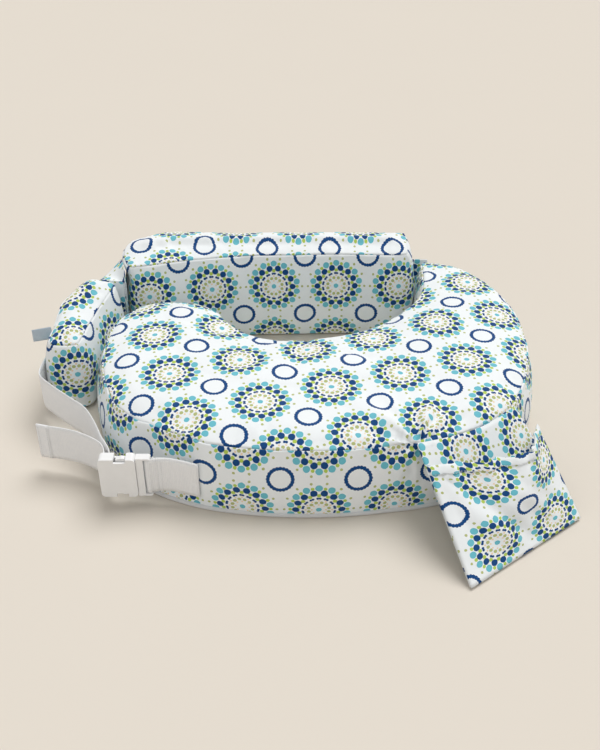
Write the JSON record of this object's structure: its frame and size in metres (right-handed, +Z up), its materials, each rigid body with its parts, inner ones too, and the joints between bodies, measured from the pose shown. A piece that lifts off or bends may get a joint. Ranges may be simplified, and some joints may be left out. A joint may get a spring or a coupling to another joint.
{
  "type": "nursing pillow",
  "caption": "Wrap-around foam feeding pillow with a padded backrest, folding side wing, buckled waist strap and side pocket, in a dotted print cover.",
  "frame": {"origin": "on the underside of the base panel, below the middle of the front lobe", "axes": "+X to the right seen from the front, +Y from the front lobe towards the backrest, +Z up"},
  "size_m": [0.6826, 0.5785, 0.135],
  "materials": {
    "print_cloth": "cotton sateen with a dotted print",
    "white_cloth": "plain white cotton",
    "foam": "open-cell foam",
    "webbing": "white woven webbing",
    "buckle_plastic": "satin moulded plastic",
    "zip_tape": "woven tape",
    "zip_nylon": "nylon coil",
    "zip_metal": "plated zinc",
    "label_satin": "blank satin tag"
  },
  "bodies": {
    "platform": {"platform_foam": "foam", "base_panel": "white_cloth", "top_panel": "print_cloth", "outer_side_band": "print_cloth", "waist_side_band": "print_cloth", "front_strap": "webbing", "pocket_back_panel": "print_cloth", "pocket_front_panel": "print_cloth", "pocket_elastic_hem": "print_cloth", "buckle_plug_frame": "buckle_plastic"},
    "backrest": {"back_foam": "foam", "back_bottom_panel": "white_cloth", "back_top_panel": "print_cloth", "back_inner_panel": "print_cloth", "back_rear_panel": "print_cloth", "rear_web": "print_cloth", "crease_web": "print_cloth", "zip_tape_lower": "zip_tape", "zip_tape_upper": "zip_tape", "zip_chain": "zip_nylon"},
    "wing": {"wing_foam": "foam", "wing_bottom_panel": "white_cloth", "wing_top_panel": "print_cloth", "wing_inner_panel": "print_cloth", "wing_outer_panel": "print_cloth", "waist_strap": "webbing", "label_tag": "label_satin"},
    "socket": {"buckle_socket": "buckle_plastic"},
    "upper_arm": {"latch_arm_upper": "buckle_plastic"},
    "lower_arm": {"latch_arm_lower": "buckle_plastic"},
    "slider": {"zip_slider": "zip_metal"},
    "pull": {"zip_pull": "zip_metal"}
  },
  "joints": [
    {"name": "backrest_swing", "type": "hinge", "parent": "platform", "child": "backrest", "pos_m": [0.169, 0.303, 0.05], "axis": [0, 0, 1], "range_deg": [-100, 0], "deforming": ["rear_web"]},
    {"name": "wing_fold", "type": "hinge", "parent": "backrest", "child": "wing", "pos_m": [-0.2395, 0.194, 0.05], "axis": [0, 0, 1], "range_deg": [-45, 0], "deforming": ["crease_web"]},
    {"name": "buckle_release", "type": "slide", "parent": "wing", "child": "socket", "axis": [-1, 0, 0], "range_m": [0, 0.045], "deforming": ["waist_strap", "latch_arm_upper", "latch_arm_lower"]},
    {"name": "upper_arm_squeeze", "type": "hinge", "parent": "platform", "child": "upper_arm", "pos_m": [-0.187, -0.131, 0.06], "axis": [0, -1, 0], "range_deg": [0, 11], "stiffness_Nm_per_rad": 0.5},
    {"name": "lower_arm_squeeze", "type": "hinge", "parent": "platform", "child": "lower_arm", "pos_m": [-0.187, -0.131, 0.03], "axis": [0, 1, 0], "range_deg": [0, 11], "stiffness_Nm_per_rad": 0.5},
    {"name": "zip_slide", "type": "slide", "parent": "backrest", "child": "slider", "axis": [-1, 0, 0], "range_m": [0, 0.225], "deforming": ["zip_chain"]},
    {"name": "zip_pull_turn", "type": "hinge", "parent": "slider", "child": "pull", "pos_m": [0.12, 0.3059, 0.03], "axis": [0, 0, -1], "range_deg": [0, 165]}
  ],
  "couplings": [
    {"joint": "lower_arm_squeeze", "follows": "upper_arm_squeeze", "ratio": 1}
  ]
}
